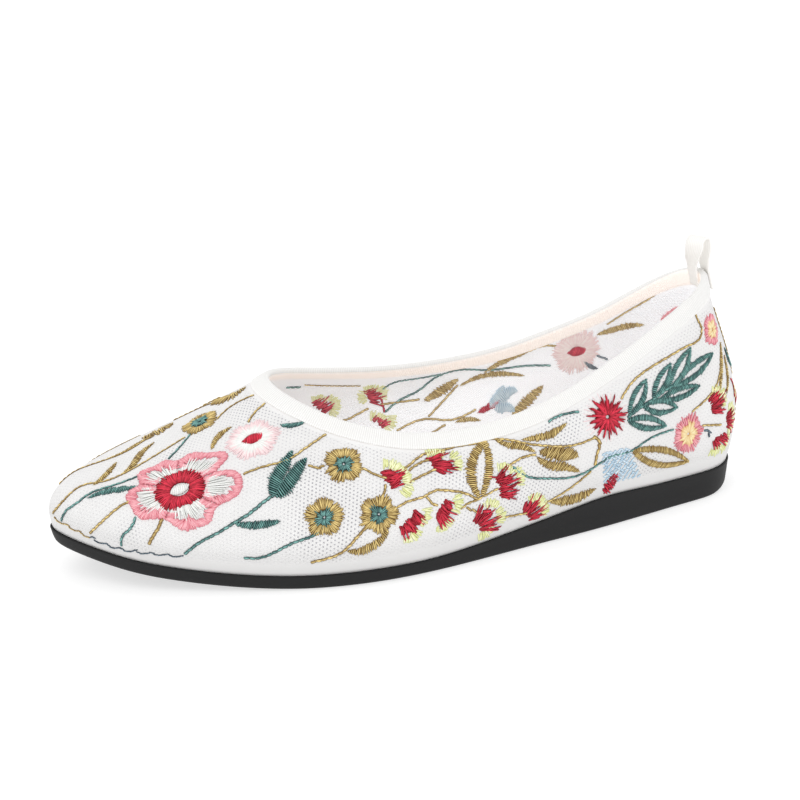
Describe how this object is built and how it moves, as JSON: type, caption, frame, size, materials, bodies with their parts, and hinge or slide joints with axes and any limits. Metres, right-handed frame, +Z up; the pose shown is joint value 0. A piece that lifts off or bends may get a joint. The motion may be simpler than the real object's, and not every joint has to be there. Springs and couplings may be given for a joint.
{
  "type": "embroidered ballet flat",
  "caption": "Left low flat shoe with a mesh upper covered in flower embroidery, a ribbon-bound collar, a heel pull loop and a thin rubber sole.",
  "frame": {"origin": "on the floor plane, halfway along the sole, on the straight line from the toe tip to the back of the heel", "axes": "+X from toe to heel, -Y towards the outer side of the foot, +Z up from the floor"},
  "size_m": [0.247, 0.088, 0.0928],
  "materials": {
    "sole_rubber": "matt",
    "sock_fabric": "matt",
    "mesh_fabric": "open mesh over a smooth lining",
    "ribbon": "ribbed ribbon with a soft sheen"
  },
  "bodies": {
    "root": {"outsole": "sole_rubber", "insole": "sock_fabric", "upper": "mesh_fabric", "collar_binding": "ribbon", "pull_loop": "ribbon"}
  },
  "joints": []
}
